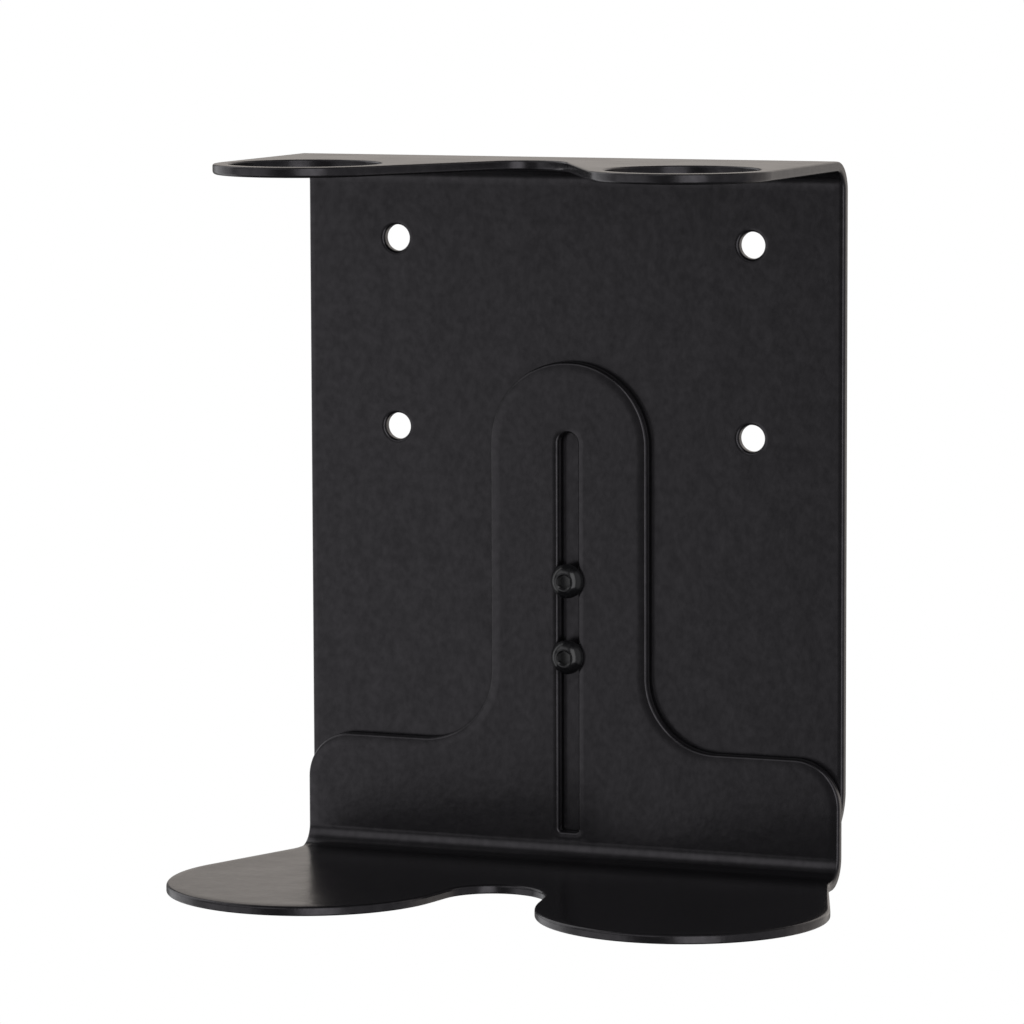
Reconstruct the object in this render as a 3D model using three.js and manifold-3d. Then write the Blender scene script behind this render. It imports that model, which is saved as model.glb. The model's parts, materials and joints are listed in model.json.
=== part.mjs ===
// A wall-mounted holder for two pump bottles, made of bent and powder-coated sheet steel.
//
// The back plate is screwed to a wall. Its top is bent forward into a flange with two rings for the
// bottles' necks. A shelf bracket with two round rests stands in front of the plate. It slides up and
// down on a slot, and two button head screws clamp it at the height of the bottles.
//
// Millimetres. +X is to the right seen from the front, +Y goes into the wall and +Z is up. The origin is
// on the wall face of the back plate, at the centre of its four mounting holes.

import * as THREE from 'three';
import * as BufferGeometryUtils from 'three/addons/utils/BufferGeometryUtils.js';
import Module from 'manifold-3d';

// Driving dimensions: the sheet
const SHEET = 3.2;            // 3 mm steel with its powder coat on both faces
const BEND_INNER = 6;         // inside radius of both bends
const WIDTH = 175.8;          // width of the back plate and of the bracket's upright
const SLIDE_GAP = 0.6;        // between the back plate and the bracket, which stands on the nuts

// Driving dimensions: the back plate
const PLATE_HEIGHT = 226;
const PLATE_CORNER = 35;      // radius of the two lower corners
const HOLE_PITCH_X = 116.5;   // mounting holes
const HOLE_PITCH_Z = 58.5;
const HOLE_DIAMETER = 8.2;
const HOLE_BELOW_TOP = 26;    // from the flange's top face to the upper mounting holes

// Driving dimensions: where the bottles stand
const BOTTLE_X = 60;          // each bottle's axis from the middle
const BOTTLE_Y = 67.5;        // each bottle's axis from the wall
const SHELF_BELOW_TOP = 216.6; // from the flange's top face to the shelf's top face, at rest

// Driving dimensions: the flange and its neck rings
const NECK_DIAMETER = 46;
const RING_RADIUS = 27.5;     // outside of each ring
const RING_COVE_RADIUS = 14;
const RING_COVE_Y = 44.2;     // centre of the cove between the rings, from the wall

// Driving dimensions: the shelf bracket
const REST_RADIUS = 43.5;     // each round rest
const REST_COVE_RADIUS = 15.9;
const REST_COVE_Y = 69;
const FLARE_START = 16.5;     // the sides flare out to the rests from here, measured from the wall
const FLARE_RADIUS = 15;      // where the side turns into the flare
const SHOULDER_HEIGHT = 35.4; // of the upright's shoulders above the shelf's top face
const SHOULDER_CORNER = 14.5;
const TONGUE_WIDTH = 51.5;
const TONGUE_FILLET = 22.3;   // between the tongue and the shoulders
const TONGUE_TOP = 154;       // of the tongue above the shelf's top face
const SLOT_WIDTH = 6.4;
const SLOT_BELOW_TONGUE_TOP = 21.8;
const SLOT_ABOVE_SHELF = 8.6;
const SLOT_CORNER = 0.9;      // radius of the slot's two lower corners

// Driving dimensions: the M6 clamping screws and the nuts pressed into the back plate
const SCREW_BELOW_TOP = [130, 153.5];
const SCREW_DIAMETER = 5.9;
const SCREW_LENGTH = 6;
const SCREW_TIP_CHAMFER = 0.5;
const HEAD_DIAMETER = 10.5;
const HEAD_HEIGHT = 3.5;
const HEAD_RIM = 1.1;         // height of the head's straight rim
const HEAD_FLAT = 5.6;        // diameter of the flat round the socket
const HEAD_DOME_RADIUS = 4.4;
const SOCKET_FLATS = 4;
const SOCKET_DEPTH = 2.2;
const SEAT_GAP = 0.05;        // under the screw's head
const NUT_FLATS = 9;
const NUT_HEX_DEPTH = 1.6;
const NUT_COLLAR_DIAMETER = 7.6;
const NUT_BORE = 6.2;
const NUT_INSET = 0.1;        // of the nut's back end inside the plate's wall face
const NUT_PROUD = 0.5;        // of the nut's collar in front of the plate
const PRESS_GAP = 0.1;        // round the nut

// Fineness of the facets
const SMALL_ARC = 8;          // segments in a quarter of a small arc
const LARGE_ARC = 20;         // segments in a quarter of a large arc
const ROUND_SEGMENTS = 40;    // round a screw, nut or mounting hole

// Worked out from the driving dimensions
const TOP = HOLE_PITCH_Z / 2 + HOLE_BELOW_TOP;
const BEND_OUTER = BEND_INNER + SHEET;
const HALF_WIDTH = WIDTH / 2;
const SHELF_TOP = TOP - SHELF_BELOW_TOP;
const BRACKET_BACK = -(SHEET + SLIDE_GAP);
const BRACKET_FRONT = BRACKET_BACK - SHEET;
const QUARTER = Math.PI / 2;
const CUT = 4;                // how far a cutting solid runs past the piece it cuts

const wasm = await Module();
wasm.setup();

// Turns a closed three.js geometry into a solid that can be cut and joined.
function toSolid(geometry) {
  const bare = geometry.clone();
  bare.deleteAttribute('normal');
  bare.deleteAttribute('uv');
  const merged = BufferGeometryUtils.mergeVertices(bare, 1e-5);
  return new wasm.Manifold(new wasm.Mesh({
    numProp: 3,
    vertProperties: new Float32Array(merged.attributes.position.array),
    triVerts: new Uint32Array(merged.index.array),
  }));
}

// Turns a solid back into a three.js geometry.
function toGeometry(solid) {
  const mesh = solid.getMesh();
  const geometry = new THREE.BufferGeometry();
  geometry.setAttribute('position', new THREE.BufferAttribute(new Float32Array(mesh.vertProperties), 3));
  geometry.setIndex(new THREE.BufferAttribute(new Uint32Array(mesh.triVerts), 1));
  geometry.computeVertexNormals();
  return geometry;
}

// A prism along X. The shape is drawn in the YZ plane.
function prismAlongX(shape, length, curveSegments) {
  const geometry = new THREE.ExtrudeGeometry(shape, { depth: length, bevelEnabled: false, curveSegments });
  geometry.translate(0, 0, -length / 2);
  const x = new THREE.Vector3(1, 0, 0);
  const y = new THREE.Vector3(0, 1, 0);
  const z = new THREE.Vector3(0, 0, 1);
  geometry.applyMatrix4(new THREE.Matrix4().makeBasis(y, z, x));
  return toSolid(geometry);
}

// A prism along Y from the back to the front. The shape is drawn in the XZ plane.
function prismAlongY(shape, back, front, curveSegments) {
  const geometry = new THREE.ExtrudeGeometry(shape, { depth: back - front, bevelEnabled: false, curveSegments });
  geometry.rotateX(QUARTER);
  geometry.translate(0, back, 0);
  return toSolid(geometry);
}

// A prism along Z from the bottom to the top. The shape is drawn in the XY plane.
function prismAlongZ(shape, bottom, top, curveSegments) {
  const geometry = new THREE.ExtrudeGeometry(shape, { depth: top - bottom, bevelEnabled: false, curveSegments });
  geometry.translate(0, 0, bottom);
  return toSolid(geometry);
}

// A round bar along Y.
function barAlongY(diameter, back, front) {
  const geometry = new THREE.CylinderGeometry(diameter / 2, diameter / 2, back - front, ROUND_SEGMENTS);
  geometry.translate(0, (back + front) / 2, 0);
  return toSolid(geometry);
}

// A regular hexagon with its corners up and down.
function hexagon(flats) {
  const shape = new THREE.Shape();
  for (let corner = 0; corner < 6; corner += 1) {
    const angle = QUARTER + corner * Math.PI / 3;
    const radius = flats / Math.sqrt(3);
    const x = radius * Math.cos(angle);
    const z = radius * Math.sin(angle);
    if (corner === 0) shape.moveTo(x, z);
    else shape.lineTo(x, z);
  }
  shape.closePath();
  return shape;
}

// The section of a bent sheet, in the YZ plane. Its outer corner is at 0, 0. One leg runs forward and the
// other runs down (up = -1) or up (up = 1) from the corner.
function bentSection(reach, height, up) {
  const shape = new THREE.Shape();
  const turn = up > 0;
  shape.moveTo(0, up * height);
  shape.lineTo(0, up * BEND_OUTER);
  shape.absarc(-BEND_OUTER, up * BEND_OUTER, BEND_OUTER, 0, -up * QUARTER, turn);
  shape.lineTo(-reach, 0);
  shape.lineTo(-reach, up * SHEET);
  shape.lineTo(-BEND_OUTER, up * SHEET);
  shape.absarc(-BEND_OUTER, up * BEND_OUTER, BEND_INNER, -up * QUARTER, 0, !turn);
  shape.lineTo(-SHEET, up * height);
  shape.closePath();
  return shape;
}

// The outline of the flange or of the shelf seen from above, in the XY plane: two round lobes side by
// side with a cove between them. The sides run straight from the bend, and then flare out to the lobes
// where the lobes are wider than the sheet. All distances in y are measured forward from the wall.
function twoLobeOutline(lobe, cove, flareStart) {
  const outward = new THREE.Vector2(HALF_WIDTH - lobe.x, lobe.y - flareStart);
  const flare = outward.angle() - Math.acos(lobe.radius / outward.length());
  const inward = new THREE.Vector2(-lobe.x, lobe.y - cove.y);
  const flank = inward.angle() + Math.acos((lobe.radius + cove.radius) / inward.length());
  const coveStart = flank - Math.PI;
  const filletLength = FLARE_RADIUS * Math.tan(flare / 2);
  const filletY = -(flareStart - filletLength);

  const shape = new THREE.Shape();
  shape.moveTo(-HALF_WIDTH, CUT);
  shape.lineTo(-HALF_WIDTH, filletY);
  if (flare > 1e-3) shape.absarc(-HALF_WIDTH - FLARE_RADIUS, filletY, FLARE_RADIUS, 0, -flare, true);
  shape.absarc(-lobe.x, -lobe.y, lobe.radius, Math.PI - flare, 3 * Math.PI - flank, false);
  shape.absarc(0, -cove.y, cove.radius, Math.PI - coveStart, coveStart, true);
  shape.absarc(lobe.x, -lobe.y, lobe.radius, flank - 2 * Math.PI, flare, false);
  if (flare > 1e-3) {
    shape.absarc(HALF_WIDTH + FLARE_RADIUS, filletY, FLARE_RADIUS, Math.PI + flare, Math.PI, true);
  }
  shape.lineTo(HALF_WIDTH, filletY);
  shape.lineTo(HALF_WIDTH, CUT);
  shape.closePath();
  return shape;
}

// The back plate: a tall sheet with rounded lower corners, bent forward at the top into the flange.
function makeBackPlate() {
  const reach = BOTTLE_Y + RING_RADIUS + CUT;
  const sheet = prismAlongX(bentSection(reach, PLATE_HEIGHT, -1), WIDTH, LARGE_ARC)
    .translate([0, 0, TOP]);

  const plan = twoLobeOutline(
    { x: BOTTLE_X, y: BOTTLE_Y, radius: RING_RADIUS },
    { y: RING_COVE_Y, radius: RING_COVE_RADIUS },
    0,
  );
  for (const side of [-1, 1]) {
    const neck = new THREE.Path();
    neck.absarc(side * BOTTLE_X, -BOTTLE_Y, NECK_DIAMETER / 2, 0, 4 * QUARTER, true);
    plan.holes.push(neck);
  }

  const bottom = TOP - PLATE_HEIGHT;
  const front = new THREE.Shape();
  front.moveTo(HALF_WIDTH + CUT, TOP + CUT);
  front.lineTo(-HALF_WIDTH - CUT, TOP + CUT);
  front.lineTo(-HALF_WIDTH - CUT, TOP - BEND_OUTER);
  front.lineTo(-HALF_WIDTH, TOP - BEND_OUTER);
  front.absarc(-HALF_WIDTH + PLATE_CORNER, bottom + PLATE_CORNER, PLATE_CORNER, 2 * QUARTER, 3 * QUARTER);
  front.absarc(HALF_WIDTH - PLATE_CORNER, bottom + PLATE_CORNER, PLATE_CORNER, 3 * QUARTER, 4 * QUARTER);
  front.lineTo(HALF_WIDTH, TOP - BEND_OUTER);
  front.lineTo(HALF_WIDTH + CUT, TOP - BEND_OUTER);
  front.closePath();

  let plate = sheet
    .intersect(prismAlongZ(plan, bottom - CUT, TOP + CUT, LARGE_ARC))
    .intersect(prismAlongY(front, CUT, -reach - CUT, LARGE_ARC));
  for (const x of [-HOLE_PITCH_X / 2, HOLE_PITCH_X / 2]) {
    for (const z of [-HOLE_PITCH_Z / 2, HOLE_PITCH_Z / 2]) {
      plate = plate.subtract(barAlongY(HOLE_DIAMETER, CUT, -SHEET - CUT).translate([x, 0, z]));
    }
  }
  for (const below of SCREW_BELOW_TOP) {
    const pocketFloor = -NUT_INSET - NUT_HEX_DEPTH - PRESS_GAP;
    const pocket = prismAlongY(hexagon(NUT_FLATS + 2 * PRESS_GAP), CUT, pocketFloor, 1)
      .add(barAlongY(NUT_COLLAR_DIAMETER + 2 * PRESS_GAP, CUT, -SHEET - CUT));
    plate = plate.subtract(pocket.translate([0, 0, TOP - below]));
  }
  return toGeometry(plate);
}

// The shelf bracket: an upright with a slotted tongue, bent forward at the bottom into the shelf.
// It is made with its back face at y = 0 and its underside at z = 0.
function makeShelfBracket() {
  const reach = BOTTLE_Y + REST_RADIUS + CUT;
  const tongueTop = TONGUE_TOP + SHEET;
  const shoulder = SHOULDER_HEIGHT + SHEET;
  const halfTongue = TONGUE_WIDTH / 2;
  const sheet = prismAlongX(bentSection(reach, tongueTop + CUT, 1), 2 * (BOTTLE_X + REST_RADIUS + CUT), LARGE_ARC);

  const forward = -BRACKET_BACK;
  const plan = twoLobeOutline(
    { x: BOTTLE_X, y: BOTTLE_Y - forward, radius: REST_RADIUS },
    { y: REST_COVE_Y - forward, radius: REST_COVE_RADIUS },
    FLARE_START - forward,
  );

  const wide = BOTTLE_X + REST_RADIUS + 2 * CUT;
  const front = new THREE.Shape();
  front.moveTo(-wide, -CUT);
  front.lineTo(wide, -CUT);
  front.lineTo(wide, BEND_OUTER);
  front.lineTo(HALF_WIDTH, BEND_OUTER);
  front.absarc(HALF_WIDTH - SHOULDER_CORNER, shoulder - SHOULDER_CORNER, SHOULDER_CORNER, 0, QUARTER);
  front.absarc(halfTongue + TONGUE_FILLET, shoulder + TONGUE_FILLET, TONGUE_FILLET, 3 * QUARTER, 2 * QUARTER, true);
  front.absarc(0, tongueTop - halfTongue, halfTongue, 0, 2 * QUARTER);
  front.absarc(-halfTongue - TONGUE_FILLET, shoulder + TONGUE_FILLET, TONGUE_FILLET, 0, -QUARTER, true);
  front.absarc(-HALF_WIDTH + SHOULDER_CORNER, shoulder - SHOULDER_CORNER, SHOULDER_CORNER, QUARTER, 2 * QUARTER);
  front.lineTo(-HALF_WIDTH, BEND_OUTER);
  front.lineTo(-wide, BEND_OUTER);
  front.closePath();

  const halfSlot = SLOT_WIDTH / 2;
  const slotTop = tongueTop - SLOT_BELOW_TONGUE_TOP;
  const slotBottom = SHEET + SLOT_ABOVE_SHELF;
  const slot = new THREE.Path();
  slot.absarc(0, slotTop - halfSlot, halfSlot, 0, 2 * QUARTER);
  slot.absarc(-halfSlot + SLOT_CORNER, slotBottom + SLOT_CORNER, SLOT_CORNER, 2 * QUARTER, 3 * QUARTER);
  slot.absarc(halfSlot - SLOT_CORNER, slotBottom + SLOT_CORNER, SLOT_CORNER, 3 * QUARTER, 4 * QUARTER);
  slot.closePath();
  front.holes.push(slot);

  return toGeometry(sheet
    .intersect(prismAlongZ(plan, -CUT, tongueTop + 2 * CUT, LARGE_ARC))
    .intersect(prismAlongY(front, CUT, -reach - CUT, LARGE_ARC)));
}

// A button head socket screw along Y. The underside of its head is at y = 0, and its tip at + y.
function makeScrew() {
  const rim = new THREE.Vector2(HEAD_DIAMETER / 2, -HEAD_RIM);
  const flat = new THREE.Vector2(HEAD_FLAT / 2, -HEAD_HEIGHT);
  const chord = flat.clone().sub(rim);
  const inward = new THREE.Vector2(chord.y, -chord.x).normalize();
  const rise = Math.sqrt(HEAD_DOME_RADIUS ** 2 - chord.lengthSq() / 4);
  const centre = rim.clone().add(flat).multiplyScalar(0.5).addScaledVector(inward, rise);
  const from = rim.clone().sub(centre).angle();
  const to = flat.clone().sub(centre).angle();

  const shank = SCREW_DIAMETER / 2;
  const profile = [
    new THREE.Vector2(0, SCREW_LENGTH),
    new THREE.Vector2(shank - SCREW_TIP_CHAMFER, SCREW_LENGTH),
    new THREE.Vector2(shank, SCREW_LENGTH - SCREW_TIP_CHAMFER),
    new THREE.Vector2(shank, 0),
    new THREE.Vector2(HEAD_DIAMETER / 2, 0),
  ];
  for (let step = 0; step <= SMALL_ARC; step += 1) {
    const angle = from + (to - from) * step / SMALL_ARC;
    profile.push(new THREE.Vector2(
      centre.x + HEAD_DOME_RADIUS * Math.cos(angle),
      centre.y + HEAD_DOME_RADIUS * Math.sin(angle),
    ));
  }
  profile.push(new THREE.Vector2(0, -HEAD_HEIGHT));

  const body = toSolid(new THREE.LatheGeometry(profile.reverse(), ROUND_SEGMENTS));
  const socket = prismAlongY(hexagon(SOCKET_FLATS), -HEAD_HEIGHT + SOCKET_DEPTH, -HEAD_HEIGHT - CUT, 1);
  return toGeometry(body.subtract(socket));
}

// A flush nut along Y: a hexagon that sits in the wall face of the plate, and a collar that reaches
// through it and stands a little proud of its front face, where the bracket bears on it.
function makeFlushNut() {
  const back = -NUT_INSET;
  const front = -SHEET - NUT_PROUD;
  const nut = prismAlongY(hexagon(NUT_FLATS), back, back - NUT_HEX_DEPTH, 1)
    .add(barAlongY(NUT_COLLAR_DIAMETER, back - NUT_HEX_DEPTH / 2, front))
    .subtract(barAlongY(NUT_BORE, CUT, -SHEET - CUT));
  return toGeometry(nut);
}

const POWDER_COAT = { color: 0x141415, roughness: 0.42, metalness: 0 };
const BLACK_SCREW = { color: 0x0d0d0e, roughness: 0.3, metalness: 0.4 };
const ZINC = { color: 0xb4b7ba, roughness: 0.35, metalness: 1 };

// Adds a named piece to its group.
function addPiece(group, name, geometry, look, x, y, z) {
  const mesh = new THREE.Mesh(geometry, new THREE.MeshStandardMaterial(look));
  mesh.name = name;
  mesh.position.set(x, y, z);
  group.add(mesh);
}

const holder = new THREE.Group();
addPiece(holder, 'back_plate', makeBackPlate(), POWDER_COAT, 0, 0, 0);
addPiece(holder, 'shelf_bracket', makeShelfBracket(), POWDER_COAT, 0, BRACKET_BACK, SHELF_TOP - SHEET);
['upper', 'lower'].forEach((place, index) => {
  const z = TOP - SCREW_BELOW_TOP[index];
  addPiece(holder, `flush_nut_${place}`, makeFlushNut(), ZINC, 0, 0, z);
  addPiece(holder, `clamp_screw_${place}`, makeScrew(), BLACK_SCREW, 0, BRACKET_FRONT - SEAT_GAP, z);
});

export default holder;
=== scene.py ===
# A wall-mounted holder for two pump bottles: its looks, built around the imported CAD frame.
#
# The holder is two bent sheets of powder-coated steel, two button head screws and two nuts that are
# pressed into the back plate. Every piece is a smooth mesh that stands for one CAD node. Sizes come
# from the frame where it gives them, and are in millimetres until a mesh is made.

import json
import math

import bmesh
import bpy
import numpy as np
from mathutils import Matrix, Vector, kdtree
from mathutils.geometry import delaunay_2d_cdt


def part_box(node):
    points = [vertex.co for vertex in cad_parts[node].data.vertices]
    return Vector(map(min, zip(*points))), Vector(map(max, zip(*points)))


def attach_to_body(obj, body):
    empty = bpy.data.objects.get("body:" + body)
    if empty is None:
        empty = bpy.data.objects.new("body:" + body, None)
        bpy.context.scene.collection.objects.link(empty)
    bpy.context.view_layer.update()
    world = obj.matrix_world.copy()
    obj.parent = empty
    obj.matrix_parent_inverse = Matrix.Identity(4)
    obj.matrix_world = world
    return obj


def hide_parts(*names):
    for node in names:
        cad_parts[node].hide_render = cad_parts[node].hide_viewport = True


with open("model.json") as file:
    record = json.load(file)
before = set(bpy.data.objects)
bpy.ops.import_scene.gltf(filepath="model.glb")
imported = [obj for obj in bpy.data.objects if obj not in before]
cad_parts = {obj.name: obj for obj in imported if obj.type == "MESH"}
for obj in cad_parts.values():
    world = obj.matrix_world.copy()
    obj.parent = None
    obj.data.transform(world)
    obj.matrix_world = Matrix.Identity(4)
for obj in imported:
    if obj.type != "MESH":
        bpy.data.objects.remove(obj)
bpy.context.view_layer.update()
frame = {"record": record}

MM = 0.001

# The camera: its place in metres, its angles in degrees, its lens and sensor in millimetres
CAMERA_PLACE = (0.60698, -1.53613, 0.13260)
CAMERA_YAW = 22.244         # to the left of straight at the wall
CAMERA_PITCH = 6.45         # downwards
CAMERA_ROLL = -0.2
CAMERA_LENS = 190
CAMERA_SENSOR = 36


def corners(node):
    """A CAD node's lowest and highest corners, in millimetres."""
    return [np.round(np.array(corner) / MM, 3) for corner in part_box(node)]


def mount_point(name):
    """A mount's point, in millimetres."""
    for mount in frame["record"]["mounts"]:
        if mount["name"] == name:
            return np.round(np.array(mount["pos_m"]) / MM, 3)
    raise ValueError(f"the record has no mount {name}")


# Sizes that the frame gives
PLATE_LOW, PLATE_HIGH = corners("back_plate")
BRACKET_LOW, BRACKET_HIGH = corners("shelf_bracket")
REST_CENTRE = mount_point("right_rest")
HALF_WIDTH = PLATE_HIGH[0]
TOP = PLATE_HIGH[2]
BOTTLE_X = REST_CENTRE[0]
BOTTLE_Y = -REST_CENTRE[1]
SHEET = round(REST_CENTRE[2] - BRACKET_LOW[2], 3)
RING_RADIUS = -PLATE_LOW[1] - BOTTLE_Y
REST_RADIUS = BRACKET_HIGH[0] - BOTTLE_X
BRACKET_BACK = BRACKET_HIGH[1]

# The sheets' other sizes
BEND_INNER = 6
BEND_OUTER = BEND_INNER + SHEET
BEND_LENGTH = math.pi / 2 * (BEND_INNER + SHEET / 2)
# A cut edge has a soft roll and then a round. The outer face is that of the bend's outer side.
OUTER_ROUND = 0.55          # radius of the round at the outer face
INNER_ROUND = 1.0           # and at the inner face
ROLL_DEGREES = 8            # that the roll has turned where the round starts
ROLL_ANGLE = math.radians(ROLL_DEGREES)
PLATE_ROLL = 1.2            # width of the roll on each outline
NECK_ROLL = 0.8
HOLE_ROLL = 0.5
BRACKET_ROLL = 2.6
SLOT_ROLL = 1.2
PLATE_CORNER = 35
NECK_RADIUS = 23
RING_COVE = (44.2, 14)      # the cove's centre from the wall, and its radius
REST_COVE = (69, 15.9)
FLARE_START = 16.5          # from the wall
FLARE_RADIUS = 15
LEAST_FLARE = 0.1           # degrees: a side that flares less runs straight into its lobe
SHOULDER_HEIGHT = 35.4      # above the shelf's top face
SHOULDER_CORNER = 14.5
HALF_TONGUE = 25.75
TONGUE_FILLET = 22.3
HOLE_PITCH = (116.5, 58.5)
HOLE_RADIUS = 4.1
HALF_SLOT = 3.2
SLOT_BELOW_TONGUE_TOP = 21.8
SLOT_ABOVE_SHELF = 8.6
SLOT_CORNER = 0.9

# The nuts and the pockets that they sit in
NUT_FLATS = 9
NUT_HEX_DEPTH = 1.6
NUT_COLLAR_RADIUS = 3.8
NUT_INSET = 0.1             # of the nut's back end inside the plate's wall face
NUT_CHAMFER = 0.35
NUT_THREAD = (3.0, 3.3)     # radius of the thread's crest and root
PRESS_GAP = 0.1
POCKET_CHAMFER = 0.25

# The screws
SCREW_LENGTH = 6
SCREW_THREAD = (2.45, 2.95)  # radius of the thread's root and crest
SCREW_NECK = 0.4            # plain length under the head
HEAD_RADIUS = 5.25
HEAD_HEIGHT = 3.5
HEAD_RIM = 1.1
HEAD_FLAT_RADIUS = 2.8
HEAD_DOME_RADIUS = 4.4
HEAD_ROUND = 0.25
SOCKET_FLATS = 4
SOCKET_DEPTH = 2.2
SOCKET_MOUTH_RADIUS = 2.5
SOCKET_MOUTH_SLOPE = 0.8
SOCKET_FLOOR_RADIUS = 1.7
SOCKET_POINT = 0.45         # depth of the drill point in the socket's floor
TIP_CHAMFER = 0.5

# The thread of the screws and nuts. The last three values are shares of the thread's depth.
THREAD_PITCH = 1
FLANK_RISE = 1.6            # that a flank would climb in half a pitch: the crest cuts it off flat
FLANK_START = 0.2           # that a flank starts below the root, which is flat for this reason
RUN_OUT = 1.5               # that the ridge may gain in each pitch from an end of the thread

# Fineness of the meshes
OUTLINE_STEP = 1.0          # longest step along an outline
ARC_STEP = 6                # longest step round an arc, in degrees
EDGE_STEPS = 6              # across each round of an edge
ROLL_STEPS = 3              # across each roll of an edge
BEND_STEPS = 16             # across a bend
GRID_STEP = 4               # between points inside a face
GRID_CLEAR = 1.2            # of those points from an outline
TURN_STEPS = 96             # round a screw or nut
THREAD_STEPS = 8            # rows in one turn of a thread
DOME_POINTS = 24            # along a screw head's dome
SHARP_ANGLE = math.radians(30)
ROUNDING = 1e-6             # a length that counts as nothing

# A colour Mix node's inputs for its share and its two colours, and its output, by number
MIX_INPUTS = ("0", "6", "7")
MIX_OUTPUT = 2
# Nearly all of a noise texture lies between these values.
NOISE_LOW = 0.25
NOISE_HIGH = 0.75

# Light: a soft world with a few broad panels, and one lamp
AMBIENT = (0.12, 0.12, 0.122)
# Each panel has its middle and half its size in degrees, as azimuth and elevation, the width over which
# its edges fade, and a colour. Azimuth 0 is straight in front of the holder, and 90 on its right.
PANELS = (
    ((-46, -20), (26, 24), 16, (0.76, 0.76, 0.77)),     # in front, low on the left
    ((-34, 33), (34, 16), 18, (0.78, 0.78, 0.79)),      # in front, high on the left
    ((-104, 10), (24, 50), 16, (0.95, 0.95, 0.96)),     # on the left
    ((32, 5), (16, 42), 12, (1.7, 1.7, 1.72)),          # in front, on the right
    ((84, 5), (30, 42), 16, (0.30, 0.30, 0.31)),        # on the right
    ((-168, 14), (24, 22), 14, (0.50, 0.455, 0.415)),   # behind
    ((145, 0), (34, 40), 16, (0.58, 0.54, 0.50)),       # behind, on the right
)
BACKDROP = (1, 1, 1, 1)     # what the camera sees behind everything
LAMP_PLACE = (-0.35, -0.9, 1.5)
LAMP_TARGET = (0, -0.05, -0.05)
LAMP_SIZE = (1.0, 0.5)
LAMP_POWER = 4
LAMP_COLOUR = (1, 0.99, 0.97)
FLOOR_BELOW = 1.3           # metres from the plate's lower edge to the floor
FLOOR_SIZE = 6


# The camera comes first.

def add_camera():
    data = bpy.data.cameras.new("camera")
    data.lens = CAMERA_LENS
    data.sensor_width = CAMERA_SENSOR
    camera = bpy.data.objects.new("camera", data)
    yaw = Matrix.Rotation(math.radians(CAMERA_YAW), 4, "Z")
    pitch = Matrix.Rotation(math.radians(90 - CAMERA_PITCH), 4, "X")
    roll = Matrix.Rotation(math.radians(CAMERA_ROLL), 4, "Z")
    camera.matrix_world = Matrix.Translation(CAMERA_PLACE) @ yaw @ pitch @ roll
    bpy.context.scene.collection.objects.link(camera)
    bpy.context.scene.camera = camera


# Outlines, drawn on the flat sheet as (x, s) before it is bent

def arc(centre, radius, start, end):
    """Points along an arc between two angles in degrees, clockwise where end is less than start."""
    turn = math.radians(end - start)
    count = math.ceil(max(abs(turn) * radius / OUTLINE_STEP, abs(end - start) / ARC_STEP))
    angles = math.radians(start) + turn * np.linspace(0, 1, count + 1)
    return np.array(centre) + radius * np.column_stack((np.cos(angles), np.sin(angles)))


def trace(*stretches):
    """Joins stretches of points with straight lines."""
    path = [np.array(stretches[0], float)]
    for stretch in stretches[1:]:
        stretch = np.array(stretch, float)
        start = path[-1][-1]
        way = stretch[0] - start
        count = math.ceil(np.linalg.norm(way) / OUTLINE_STEP - ROUNDING)
        path.append(start + way * np.linspace(0, 1, count + 1)[1:, None])
        path.append(stretch[1:])
    return np.vstack([piece for piece in path if len(piece)])


def mirrored(half):
    """Closes the right half of an outline, which starts and ends at x = 0."""
    return np.vstack((half, half[-2:0:-1] * (-1, 1)))


def circle(centre, radius):
    """A hole's outline, clockwise."""
    return arc(centre, radius, 360, 0)[:-1]


def bend_side():
    """The points where a sheet's right side crosses the bend."""
    stations = np.linspace(0, BEND_LENGTH, BEND_STEPS + 1)
    return np.column_stack((np.full(len(stations), HALF_WIDTH), stations))


def two_lobes(sheet, radius, cove, flare_start):
    """The right half of the level leg's outline: a round lobe and half of the cove between the lobes.
    Its side flares out to the lobe from flare_start. Distances are from the wall."""
    cove_place, cove_radius = cove
    outward = (HALF_WIDTH - BOTTLE_X, BOTTLE_Y - flare_start)
    flare = math.degrees(math.atan2(outward[1], outward[0]) - math.acos(radius / math.hypot(*outward)))
    inward = (BOTTLE_X, BOTTLE_Y - cove_place)
    flank = math.degrees(math.acos((radius + cove_radius) / math.hypot(*inward))
                         - math.atan2(inward[1], inward[0]))
    stretches = []
    if flare > LEAST_FLARE:
        fillet = flare_start - FLARE_RADIUS * math.tan(math.radians(flare / 2))
        centre = (HALF_WIDTH + FLARE_RADIUS, sheet.level(-fillet))
        stretches.append(arc(centre, FLARE_RADIUS, 180, 180 - flare))
    stretches.append(arc((BOTTLE_X, sheet.level(-BOTTLE_Y)), radius, -flare, 180 - flank))
    stretches.append(arc((0, sheet.level(-cove_place)), cove_radius, -flank, -90))
    return stretches


def plate_outline(sheet):
    bottom = sheet.upright(PLATE_LOW[2])
    corner = (HALF_WIDTH - PLATE_CORNER, bottom + PLATE_CORNER)
    return mirrored(trace(
        [(0, bottom)],
        arc(corner, PLATE_CORNER, -90, 0),
        bend_side(),
        *two_lobes(sheet, RING_RADIUS, RING_COVE, 0),
    ))


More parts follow.
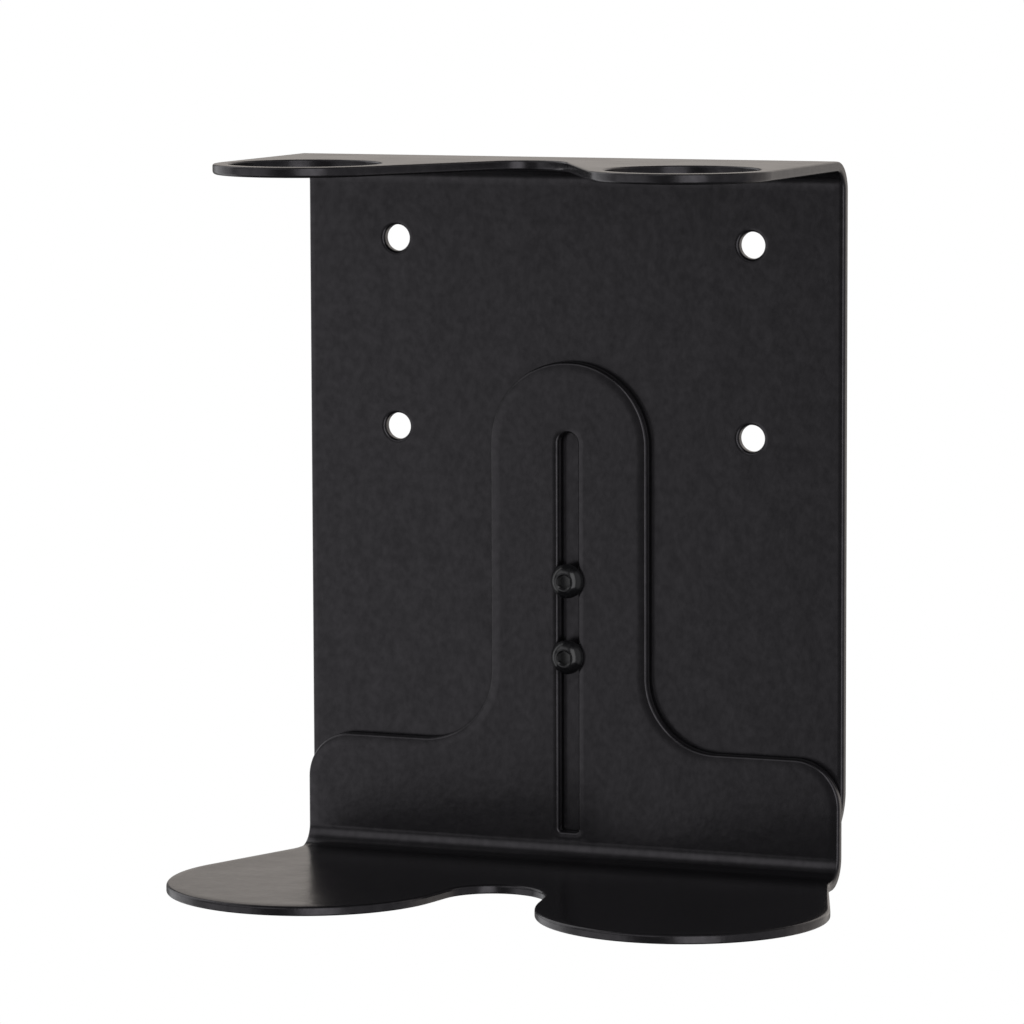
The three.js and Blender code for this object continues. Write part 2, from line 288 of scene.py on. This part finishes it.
def bracket_outline(sheet):
    tip = sheet.upright(BRACKET_HIGH[2])
    shoulder = sheet.upright(REST_CENTRE[2] + SHOULDER_HEIGHT)
    return mirrored(trace(
        arc((0, tip + HALF_TONGUE), HALF_TONGUE, -90, 0),
        arc((HALF_TONGUE + TONGUE_FILLET, shoulder - TONGUE_FILLET), TONGUE_FILLET, 180, 90),
        arc((HALF_WIDTH - SHOULDER_CORNER, shoulder + SHOULDER_CORNER), SHOULDER_CORNER, -90, 0),
        bend_side(),
        *two_lobes(sheet, REST_RADIUS, REST_COVE, FLARE_START),
    ))


def slot_outline(sheet):
    """The slot's outline, clockwise. Its end with the small corners is the lower one."""
    tip = sheet.upright(BRACKET_HIGH[2] - SLOT_BELOW_TONGUE_TOP)
    end = sheet.upright(REST_CENTRE[2] + SLOT_ABOVE_SHELF)
    corner = HALF_SLOT - SLOT_CORNER
    half = trace(
        arc((0, tip + HALF_SLOT), HALF_SLOT, -90, 0),
        arc((corner, end - SLOT_CORNER), SLOT_CORNER, 0, 90),
        [(0, end)],
    )
    return mirrored(half)[::-1]


# Sheets

class BentSheet:
    """A sheet with one right-angled bend. A point on it is (x, s, n): s runs down the upright leg to the
    bend, which starts at 0, and on along the level leg, and n is the depth from the bend's outer face.
    up is the side of the level leg that the upright one stands on."""

    def __init__(self, back, corner, up):
        self.back = back
        self.corner = corner
        self.up = up

    def upright(self, z):
        """s of a height on the upright leg."""
        return BEND_OUTER - self.up * (z - self.corner)

    def level(self, y):
        """s of a place on the level leg."""
        return self.back - y - BEND_OUTER + BEND_LENGTH

    def turn(self, s):
        return np.clip(s / BEND_LENGTH, 0, 1) * math.pi / 2

    def place(self, flat):
        x, s, n = flat.T
        angle = self.turn(s)
        inner = BEND_OUTER - n
        y = self.back - BEND_OUTER + inner * np.cos(angle) - np.maximum(s - BEND_LENGTH, 0)
        z = self.corner + self.up * (BEND_OUTER - inner * np.sin(angle) - np.minimum(s, 0))
        return np.column_stack((x, y, z))

    def direction(self, flat, vectors):
        """Vectors given along x, s and n, turned to where their points are."""
        angle = self.turn(flat[:, 1])
        a, b, c = vectors.T
        y = -b * np.sin(angle) - c * np.cos(angle)
        z = self.up * (c * np.sin(angle) - b * np.cos(angle))
        return np.column_stack((a, y, z))


class Surface:
    """The points, normals and faces of a mesh as it grows. A point with no normal of its own gets flat
    shading from each face round it."""

    def __init__(self):
        self.points = []
        self.normals = []
        self.faces = []

    def add(self, points, normals=None):
        """Adds points, and returns their numbers."""
        first = len(self.points)
        if normals is None:
            normals = np.zeros((len(points), 3))
        self.points.extend(points)
        self.normals.extend(normals)
        return np.arange(first, len(self.points))

    def join(self, ring, following):
        """A closed strip of faces between two rings with as many points."""
        for a, b in zip(range(len(ring)), np.roll(range(len(ring)), -1)):
            self.faces.append((ring[a], ring[b], following[b], following[a]))

    def fan(self, ring, centre):
        """Closes a ring with a point in its middle."""
        middle = self.add([centre])[0]
        for a, b in zip(ring, np.roll(ring, -1)):
            self.faces.append((a, b, middle))


def outward_normals(loop):
    """Unit normals of an outline that point away from its material."""
    along = np.roll(loop, -1, axis=0) - loop
    along /= np.linalg.norm(along, axis=1)[:, None]
    tangent = along + np.roll(along, 1, axis=0)
    tangent /= np.linalg.norm(tangent, axis=1)[:, None]
    return np.column_stack((tangent[:, 1], -tangent[:, 0]))


def edge_profile(radius, roll):
    """Half of an edge's section, from the flat face to the middle of the edge. Its rows are the distance
    from the edge's outside, the depth from the face, and the angle that the surface has turned."""
    rows = []
    drop = roll * ROLL_ANGLE / 2
    reach = roll + radius * (1 - math.sin(ROLL_ANGLE))
    for share in np.linspace(0, 1, ROLL_STEPS, endpoint=False):
        rows.append((reach - roll * share, drop * share ** 2, ROLL_ANGLE * share))
    for angle in np.linspace(ROLL_ANGLE, math.pi / 2, EDGE_STEPS + 1):
        depth = drop + radius * (math.cos(ROLL_ANGLE) - math.cos(angle))
        rows.append((radius * (1 - math.sin(angle)), depth, angle))
    return rows


def rounded_edge(surface, loop, roll):
    """The edge of a sheet along one outline, round at both faces. It returns the outline and the point
    numbers at the outer face and at the inner face."""
    outward = outward_normals(loop)
    count = len(loop)
    outer = edge_profile(OUTER_ROUND, roll)
    inner = edge_profile(INNER_ROUND, roll)[::-1]
    rows = [(inset, depth, -angle) for inset, depth, angle in outer]
    rows += [(inset, SHEET - depth, angle) for inset, depth, angle in inner]
    rings = []
    for inset, depth, angle in rows:
        flat = loop - inset * outward
        points = np.column_stack((flat, np.full(count, depth)))
        lean = math.copysign(math.cos(angle), angle)
        normals = np.column_stack((outward * abs(math.sin(angle)), np.full(count, lean)))
        rings.append((flat, surface.add(points, normals)))
    for ring, following in zip(rings, rings[1:]):
        surface.join(ring[1], following[1])
    return rings[0], rings[-1]


def turned_ring(centre, radii, depth):
    """A ring of points round an axis: two coordinates across it, clockwise, and one along it."""
    angles = -np.linspace(0, 2 * math.pi, TURN_STEPS, endpoint=False)
    return np.column_stack((
        centre[0] + radii * np.cos(angles),
        centre[1] + radii * np.sin(angles),
        np.broadcast_to(depth, TURN_STEPS),
    ))


def hexagon_radii(flats):
    """The radius of a hexagon with its corners up and down, at each step of a turn."""
    angles = np.linspace(0, 2 * math.pi, TURN_STEPS, endpoint=False)
    return flats / 2 / np.cos((angles + math.pi / 6) % (math.pi / 3) - math.pi / 6)


def nut_pocket(surface, centre):
    """A hexagonal pocket in the plate's wall face, with a round bore on to its front face."""
    hexagon = hexagon_radii(NUT_FLATS + 2 * PRESS_GAP)
    bore = NUT_COLLAR_RADIUS + PRESS_GAP
    floor = NUT_INSET + NUT_HEX_DEPTH + PRESS_GAP
    rows = [
        (hexagon + POCKET_CHAMFER, 0),
        (hexagon, POCKET_CHAMFER),
        (hexagon, floor),
        (bore, floor),
        (bore, SHEET - POCKET_CHAMFER),
        (bore + POCKET_CHAMFER, SHEET),
    ]
    rings = []
    for radii, depth in rows:
        points = turned_ring(centre, radii, depth)
        rings.append((points[:, :2], surface.add(points)))
    for ring, following in zip(rings, rings[1:]):
        surface.join(ring[1], following[1])
    return rings[0], rings[-1]


def inside(points, loops):
    """Which points lie in the material, by counting how often a line from them crosses the outlines."""
    crossings = np.zeros(len(points), int)
    for loop in loops:
        following = np.roll(loop, -1, axis=0)
        for (x1, s1), (x2, s2) in zip(loop, following):
            if s1 != s2:
                spans = (points[:, 1] >= min(s1, s2)) & (points[:, 1] < max(s1, s2))
                crossing = x1 + (points[:, 1] - s1) * (x2 - x1) / (s2 - s1)
                crossings += spans & (crossing > points[:, 0])
    return crossings % 2 == 1


def grid_points(loops):
    """Points inside a face: rows at even steps, and closer ones across the bend."""
    every = np.vstack(loops)
    tree = kdtree.KDTree(len(every))
    for number, (x, s) in enumerate(every):
        tree.insert((x, s, 0), number)
    tree.balance()
    low, high = every.min(axis=0), every.max(axis=0)
    columns = np.arange(math.ceil(low[0] / GRID_STEP), high[0] / GRID_STEP) * GRID_STEP
    rows = np.concatenate((
        np.arange(-GRID_STEP, low[1], -GRID_STEP),
        np.linspace(0, BEND_LENGTH, BEND_STEPS + 1),
        np.arange(BEND_LENGTH + GRID_STEP, high[1], GRID_STEP),
    ))
    grid = np.array([(x, s) for s in rows for x in columns])
    grid = grid[inside(grid, loops)]
    clear = [tree.find((x, s, 0))[2] > GRID_CLEAR for x, s in grid]
    return grid[np.array(clear)]


def sides_of(triangle):
    """A triangle's sides, each as a pair of point numbers in no order."""
    return [frozenset(pair) for pair in zip(triangle, np.roll(triangle, -1))]


def enclosed(triangles, flat, loops, walls):
    """The triangles that lie in the material: those that can be reached from its largest triangle
    without crossing an outline."""
    a, b, c = (flat[triangles[:, corner]] for corner in range(3))
    areas = np.abs((b - a)[:, 0] * (c - a)[:, 1] - (b - a)[:, 1] * (c - a)[:, 0])
    largest = int(np.argmax(areas * inside((a + b + c) / 3, loops)))
    sharing = {}
    for number, triangle in enumerate(triangles):
        for pair in sides_of(triangle):
            sharing.setdefault(pair, []).append(number)
    reached = {largest}
    waiting = [largest]
    while waiting:
        for pair in sides_of(triangles[waiting.pop()]):
            if pair in walls:
                continue
            beyond = [number for number in sharing[pair] if number not in reached]
            reached.update(beyond)
            waiting.extend(beyond)
    return triangles[sorted(reached)]


def face_of_sheet(surface, rims, depth, side):
    """Fills one face of a sheet between its outlines. side is -1 on the outer face and 1 on the inner."""
    loops = [loop for loop, numbers in rims]
    grid = grid_points(loops)
    count = len(grid)
    points = np.column_stack((grid, np.full(count, depth)))
    normals = np.tile((0, 0, side), (count, 1))
    numbers = np.concatenate([numbers for loop, numbers in rims] + [surface.add(points, normals)])
    flat = np.vstack(loops + [grid])
    edges = []
    first = 0
    for loop in loops:
        ring = first + np.arange(len(loop))
        edges.extend(zip(ring.tolist(), np.roll(ring, -1).tolist()))
        first += len(loop)
    filled = delaunay_2d_cdt([Vector(point) for point in flat], edges, [], 0, ROUNDING)
    origin = [found[0] for found in filled[3]]
    triangles = np.array([[origin[corner] for corner in face] for face in filled[2]])
    walls = {frozenset(edge) for edge in edges}
    for triangle in enclosed(triangles, flat, loops, walls):
        surface.faces.append(tuple(numbers[triangle]))


def shade(mesh, normals):
    """Gives each corner of each face its point's own normal, or the face's where that is far off it."""
    limit = math.cos(SHARP_ANGLE)
    custom = []
    for face in mesh.polygons:
        for number in face.vertices:
            normal = Vector(normals[number])
            custom.append(normal if normal.dot(face.normal) > limit else face.normal.copy())
    mesh.normals_split_custom_set(custom)


def make_object(name, points, faces):
    """A new object from points in millimetres, with its faces turned outwards and joined in pairs."""
    mesh = bpy.data.meshes.new(name)
    mesh.from_pydata((np.array(points) * MM).tolist(), [], [[int(n) for n in face] for face in faces])
    form = bmesh.new()
    form.from_mesh(mesh)
    bmesh.ops.join_triangles(form, faces=form.faces[:], angle_face_threshold=math.radians(1),
                             angle_shape_threshold=math.radians(50))
    bmesh.ops.recalc_face_normals(form, faces=form.faces[:])
    form.to_mesh(mesh)
    form.free()
    mesh.shade_smooth()
    piece = bpy.data.objects.new(name, mesh)
    bpy.context.scene.collection.objects.link(piece)
    return piece


def make_sheet(name, sheet, outlines, pockets=()):
    """A bent sheet from its outlines, each with its edge's roll. The first is the outside, and the
    others are holes."""
    surface = Surface()
    rims = [rounded_edge(surface, loop, roll) for loop, roll in outlines]
    rims += [nut_pocket(surface, centre) for centre in pockets]
    face_of_sheet(surface, [rim[0] for rim in rims], 0, -1)
    face_of_sheet(surface, [rim[1] for rim in rims], SHEET, 1)
    flat = np.array(surface.points)
    piece = make_object(name, sheet.place(flat), surface.faces)
    shade(piece.data, sheet.direction(flat, np.array(surface.normals, float)))
    return piece


def screw_heights():
    """The heights of the screws' axes, from their CAD nodes."""
    return {place: sum(corner[2] for corner in corners(f"clamp_screw_{place}")) / 2
            for place in ("upper", "lower")}


def make_back_plate():
    sheet = BentSheet(PLATE_HIGH[1], TOP, -1)
    outlines = [(plate_outline(sheet), PLATE_ROLL)]
    for side in (-1, 1):
        outlines.append((circle((side * BOTTLE_X, sheet.level(-BOTTLE_Y)), NECK_RADIUS), NECK_ROLL))
        for height in (-HOLE_PITCH[1] / 2, HOLE_PITCH[1] / 2):
            hole = circle((side * HOLE_PITCH[0] / 2, sheet.upright(height)), HOLE_RADIUS)
            outlines.append((hole, HOLE_ROLL))
    pockets = [(0, sheet.upright(height)) for height in screw_heights().values()]
    return make_sheet("back_plate_coated", sheet, outlines, pockets)


def make_shelf_bracket():
    sheet = BentSheet(BRACKET_BACK, BRACKET_LOW[2], 1)
    outlines = [(bracket_outline(sheet), BRACKET_ROLL), (slot_outline(sheet), SLOT_ROLL)]
    return make_sheet("shelf_bracket_coated", sheet, outlines)


# Screws and nuts, turned about an axis along Y. Heights are towards the front.

def thread_rows(start, end, root, crest):
    """Rings of a right-hand thread between two heights. It runs out smoothly at both ends."""
    turns = np.linspace(0, 1, TURN_STEPS, endpoint=False)
    count = round(abs(end - start) / THREAD_PITCH * THREAD_STEPS)
    rows = []
    for height in np.linspace(start, end, count + 1):
        phase = (height / THREAD_PITCH + turns) % 1
        ridge = np.clip(FLANK_RISE * (1 - np.abs(2 * phase - 1)) - FLANK_START, 0, 1)
        from_end = min(abs(height - start), abs(height - end))
        ridge *= min(1, from_end / THREAD_PITCH * RUN_OUT)
        rows.append((root + (crest - root) * ridge, height))
    return rows


def turned_solid(name, rows, x, y, z, caps):
    """A solid from rings of (radii, height) round an axis along Y. With caps, its ends close at the
    two heights given. Without, the last ring joins the first."""
    surface = Surface()
    rings = []
    for radii, height in rows:
        ring = turned_ring((x, z), radii, height)
        rings.append(surface.add(np.column_stack((ring[:, 0], y - ring[:, 2], ring[:, 1]))))
    for ring, following in zip(rings, rings[1:]):
        surface.join(ring, following)
    if caps:
        surface.fan(rings[0], (x, y - caps[0], z))
        surface.fan(rings[-1], (x, y - caps[1], z))
    else:
        surface.join(rings[-1], rings[0])
    piece = make_object(name, surface.points, surface.faces)
    piece.data.set_sharp_from_angle(angle=SHARP_ANGLE)
    return piece


def dome_rows():
    """The head's dome, an arc from the rim to the flat round the socket."""
    rim = np.array((HEAD_RADIUS, HEAD_RIM))
    flat = np.array((HEAD_FLAT_RADIUS, HEAD_HEIGHT))
    chord = flat - rim
    inward = np.array((-chord[1], chord[0])) / np.linalg.norm(chord)
    rise = math.sqrt(HEAD_DOME_RADIUS ** 2 - chord @ chord / 4)
    centre = (rim + flat) / 2 + inward * rise
    start = math.atan2(*(rim - centre)[::-1])
    end = math.atan2(*(flat - centre)[::-1])
    return [(centre[0] + HEAD_DOME_RADIUS * math.cos(angle),
             centre[1] + HEAD_DOME_RADIUS * math.sin(angle))
            for angle in np.linspace(start, end, DOME_POINTS)]


def make_screw(place, height):
    """A button head socket screw."""
    front = corners(f"clamp_screw_{place}")[0][1]
    root, crest = SCREW_THREAD
    socket = hexagon_radii(SOCKET_FLATS)
    round_off = HEAD_ROUND * (1 - math.cos(math.pi / 4))
    rows = [(root - TIP_CHAMFER, -SCREW_LENGTH)]
    rows += thread_rows(-SCREW_LENGTH + TIP_CHAMFER, -SCREW_NECK, root, crest)
    rows += [
        (crest, 0),
        (HEAD_RADIUS - HEAD_ROUND, 0),
        (HEAD_RADIUS - round_off, round_off),
        (HEAD_RADIUS, HEAD_ROUND),
    ]
    rows += dome_rows()
    rows += [
        (SOCKET_MOUTH_RADIUS, HEAD_HEIGHT),
        (socket, HEAD_HEIGHT - (SOCKET_MOUTH_RADIUS - socket) * SOCKET_MOUTH_SLOPE),
        (socket, HEAD_HEIGHT - SOCKET_DEPTH),
        (SOCKET_FLOOR_RADIUS, HEAD_HEIGHT - SOCKET_DEPTH),
    ]
    point = HEAD_HEIGHT - SOCKET_DEPTH - SOCKET_POINT
    seat = front + HEAD_HEIGHT
    return turned_solid(f"screw_{place}", rows, 0, seat, height, (-SCREW_LENGTH, point))


def make_nut(place, height):
    """A flush nut: a hexagon in the plate's wall face, and a collar that stands a little proud of the
    plate's front face."""
    low, high = corners(f"flush_nut_{place}")
    length = high[1] - low[1]
    crest, root = NUT_THREAD
    hexagon = hexagon_radii(NUT_FLATS)
    rows = [
        (root + NUT_CHAMFER / 2, 0),
        (hexagon - NUT_CHAMFER, 0),
        (hexagon, NUT_CHAMFER / 2),
        (hexagon, NUT_HEX_DEPTH),
        (NUT_COLLAR_RADIUS, NUT_HEX_DEPTH),
        (NUT_COLLAR_RADIUS, length - NUT_CHAMFER / 2),
        (NUT_COLLAR_RADIUS - NUT_CHAMFER / 2, length),
        (root + NUT_CHAMFER / 2, length),
    ]
    rows += thread_rows(length - NUT_CHAMFER, NUT_CHAMFER, root, crest)
    return turned_solid(f"nut_{place}", rows, 0, high[1], height, None)


# Materials

class Nodes:
    """A short way to add nodes to a tree and link them."""

    def __init__(self, tree):
        self.tree = tree
        tree.nodes.clear()

    def add(self, kind, settings=None, **values):
        """Adds a node. settings are its properties, and values are its inputs: links or numbers."""
        node = self.tree.nodes.new(kind)
        for key, value in (settings or {}).items():
            setattr(node, key, value)
        for key, value in values.items():
            self.put(node, key.replace("_", " "), value)
        return node

    def put(self, node, key, value):
        socket = node.inputs[int(key)] if key.isdigit() else node.inputs[key]
        if isinstance(value, bpy.types.NodeSocket):
            self.tree.links.new(value, socket)
        else:
            socket.default_value = value

    def math(self, operation, *values):
        node = self.add("ShaderNodeMath", {"operation": operation})
        for number, value in enumerate(values):
            self.put(node, str(number), value)
        return node.outputs[0]

    def noise(self, place, scale, detail, roughness=0.5):
        """Noise from 0 to 1. scale is the number of its features in a metre."""
        node = self.add("ShaderNodeTexNoise", Vector=place, Scale=scale)
        self.put(node, "Detail", detail)
        self.put(node, "Roughness", roughness)
        return node.outputs["Fac"]

    def between(self, noise, low, high):
        """A noise, spread so that nearly all of it runs from low to high and none of it goes beyond."""
        node = self.add("ShaderNodeMapRange")
        self.put(node, "Value", noise)
        self.put(node, "From Min", NOISE_LOW)
        self.put(node, "From Max", NOISE_HIGH)
        self.put(node, "To Min", low)
        self.put(node, "To Max", high)
        return node.outputs["Result"]

    def blend(self, share, first, second, mode="MIX"):
        """A colour between two colours, or in the mode ADD the first with a share of the second."""
        settings = {"data_type": "RGBA", "blend_type": mode, "clamp_result": False}
        node = self.add("ShaderNodeMix", settings)
        for key, value in zip(MIX_INPUTS, (share, first, second)):
            self.put(node, key, value)
        return node.outputs[MIX_OUTPUT]

    def bump(self, height, strength, distance, under=None):
        node = self.add("ShaderNodeBump", Height=height, Strength=strength, Distance=distance)
        if under is not None:
            self.put(node, "Normal", under)
        return node.outputs["Normal"]


def new_material(name):
    material = bpy.data.materials.new(name)
    material.use_nodes = True
    nodes = Nodes(material.node_tree)
    place = nodes.add("ShaderNodeTexCoord").outputs["Object"]
    shader = nodes.add("ShaderNodeBsdfPrincipled")
    output = nodes.add("ShaderNodeOutputMaterial")
    nodes.put(output, "Surface", shader.outputs["BSDF"])
    return material, nodes, place, shader


def powder_coat():
    """Black powder coat: a soft gloss with the fine orange peel of melted powder."""
    material, nodes, place, shader = new_material("powder_coat_black")
    dark = (0.0040, 0.0038, 0.0043, 1)
    light = (0.0062, 0.0059, 0.0066, 1)
    grain = (0.012, 0.0115, 0.0125, 1)
    cloud = nodes.noise(place, scale=35, detail=3)
    speck = nodes.noise(place, scale=2600, detail=1)
    tone = nodes.blend(nodes.between(cloud, 0, 1), dark, light)
    nodes.put(shader, "Base Color", nodes.blend(nodes.between(speck, 0, 0.35), tone, grain))
    gloss = nodes.noise(place, scale=60, detail=4, roughness=0.6)
    nodes.put(shader, "Roughness", nodes.between(gloss, 0.20, 0.26))
    nodes.put(shader, "IOR", 1.5)
    swell = nodes.noise(place, scale=130, detail=0)
    skin = nodes.noise(place, scale=420, detail=1)
    nodes.put(shader, "Specular IOR Level", nodes.between(skin, 0.41, 0.57))
    nodes.put(shader, "Specular Tint", (1, 0.955, 1.02, 1))
    dust = nodes.noise(place, scale=3400, detail=1)
    wave = nodes.bump(swell, strength=0.7, distance=0.00010)
    peel = nodes.bump(skin, strength=0.7, distance=0.00004, under=wave)
    fine = nodes.bump(dust, strength=0.35, distance=0.000008, under=peel)
    nodes.put(shader, "Normal", fine)
    return material


def black_screw():
    """The screws' black finish: glossier than the coat, and slightly uneven."""
    material, nodes, place, shader = new_material("screw_black")
    dark = (0.006, 0.006, 0.0065, 1)
    light = (0.010, 0.010, 0.011, 1)
    cloud = nodes.noise(place, scale=500, detail=3)
    nodes.put(shader, "Base Color", nodes.blend(nodes.between(cloud, 0, 1), dark, light))
    gloss = nodes.noise(place, scale=1500, detail=3)
    nodes.put(shader, "Roughness", nodes.between(gloss, 0.13, 0.20))
    nodes.put(shader, "IOR", 1.5)
    fine = nodes.noise(place, scale=2500, detail=2)
    nodes.put(shader, "Normal", nodes.bump(fine, strength=0.4, distance=0.00001))
    return material


def zinc():
    """Bright zinc plate: grey metal with a cloudy gloss and fine scratches."""
    material, nodes, place, shader = new_material("zinc_plate")
    dark = (0.54, 0.55, 0.57, 1)
    light = (0.68, 0.68, 0.68, 1)
    cloud = nodes.noise(place, scale=900, detail=4)
    nodes.put(shader, "Base Color", nodes.blend(nodes.between(cloud, 0, 1), dark, light))
    nodes.put(shader, "Metallic", 1.0)
    gloss = nodes.noise(place, scale=2200, detail=4)
    nodes.put(shader, "Roughness", nodes.between(gloss, 0.26, 0.42))
    stretched = nodes.add("ShaderNodeMapping", Vector=place, Scale=(1, 1, 12)).outputs["Vector"]
    scratches = nodes.noise(stretched, scale=1800, detail=3)
    nodes.put(shader, "Normal", nodes.bump(scratches, strength=0.35, distance=0.00001))
    return material


# The world, the floor and the lamp

def panel_edge(nodes, offset, half, fade):
    """1 inside a panel's half size, fading to 0 outside it. offset is in degrees from its middle."""
    ramp = nodes.add("ShaderNodeMapRange", {"interpolation_type": "SMOOTHSTEP"})
    nodes.put(ramp, "Value", nodes.math("ABSOLUTE", offset))
    nodes.put(ramp, "From Min", half + fade / 2)
    nodes.put(ramp, "From Max", half - fade / 2)
    return ramp.outputs["Result"]


def add_world():
    world = bpy.data.worlds.new("studio")
    world.use_nodes = True
    nodes = Nodes(world.node_tree)
    direction = nodes.add("ShaderNodeTexCoord").outputs["Generated"]
    split = nodes.add("ShaderNodeSeparateXYZ", Vector=direction).outputs
    forward = nodes.math("MULTIPLY", split["Y"], -1)
    azimuth = nodes.math("DEGREES", nodes.math("ARCTAN2", split["X"], forward))
    elevation = nodes.math("DEGREES", nodes.math("ARCSINE", split["Z"]))
    total = (*AMBIENT, 1)
    for middle, half, fade, colour in PANELS:
        around = nodes.math("WRAP", nodes.math("SUBTRACT", azimuth, middle[0]), 180, -180)
        above = nodes.math("SUBTRACT", elevation, middle[1])
        share = nodes.math("MULTIPLY", panel_edge(nodes, around, half[0], fade),
                           panel_edge(nodes, above, half[1], fade))
        total = nodes.blend(share, total, (*colour, 1), mode="ADD")
    lit = nodes.add("ShaderNodeBackground", Color=total, Strength=1.0)
    seen = nodes.add("ShaderNodeBackground", Color=BACKDROP, Strength=1.0)
    choice = nodes.add("ShaderNodeMixShader")
    nodes.put(choice, "0", nodes.add("ShaderNodeLightPath").outputs["Is Camera Ray"])
    nodes.put(choice, "1", lit.outputs[0])
    nodes.put(choice, "2", seen.outputs[0])
    output = nodes.add("ShaderNodeOutputWorld")
    nodes.put(output, "Surface", choice.outputs[0])
    bpy.context.scene.world = world


def add_floor():
    """A plain pale floor, far enough below for a holder that hangs on a wall."""
    mesh = bpy.data.meshes.new("floor")
    half = FLOOR_SIZE / 2
    height = PLATE_LOW[2] * MM - FLOOR_BELOW
    places = [(x, y, height) for x, y in ((-half, -half), (half, -half), (half, half), (-half, half))]
    mesh.from_pydata(places, [], [(0, 1, 2, 3)])
    floor = bpy.data.objects.new("floor", mesh)
    bpy.context.scene.collection.objects.link(floor)
    material, nodes, place, shader = new_material("floor_pale")
    dark = (0.78, 0.78, 0.77, 1)
    light = (0.82, 0.82, 0.81, 1)
    nodes.put(shader, "Base Color", nodes.blend(nodes.noise(place, scale=3, detail=3), dark, light))
    nodes.put(shader, "Roughness", 0.8)
    mesh.materials.append(material)
    floor.visible_glossy = False


def add_lamp():
    """A rectangular lamp that is seen neither by the camera nor in reflections."""
    data = bpy.data.lights.new("softbox_above", "AREA")
    data.shape = "RECTANGLE"
    data.size, data.size_y = LAMP_SIZE
    data.energy = LAMP_POWER
    data.color = LAMP_COLOUR
    lamp = bpy.data.objects.new("softbox_above", data)
    lamp.location = LAMP_PLACE
    way = Vector(LAMP_TARGET) - Vector(LAMP_PLACE)
    lamp.rotation_euler = way.to_track_quat("-Z", "Y").to_euler()
    lamp.visible_camera = False
    lamp.visible_glossy = False
    bpy.context.scene.collection.objects.link(lamp)


def add_surroundings():
    bpy.context.scene.view_settings.view_transform = "Standard"
    add_world()
    add_floor()
    add_lamp()


# The object

def attach(piece, node, body, material):
    piece.data.materials.append(material)
    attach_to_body(piece, body)
    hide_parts(node)


def build():
    coat = powder_coat()
    attach(make_back_plate(), "back_plate", "wall_plate", coat)
    attach(make_shelf_bracket(), "shelf_bracket", "shelf", coat)
    screw_look = black_screw()
    nut_look = zinc()
    for place, height in screw_heights().items():
        screw = make_screw(place, height)
        nut = make_nut(place, height)
        attach(screw, f"clamp_screw_{place}", f"{place}_screw", screw_look)
        attach(nut, f"flush_nut_{place}", "wall_plate", nut_look)


add_camera()
build()
add_surroundings()
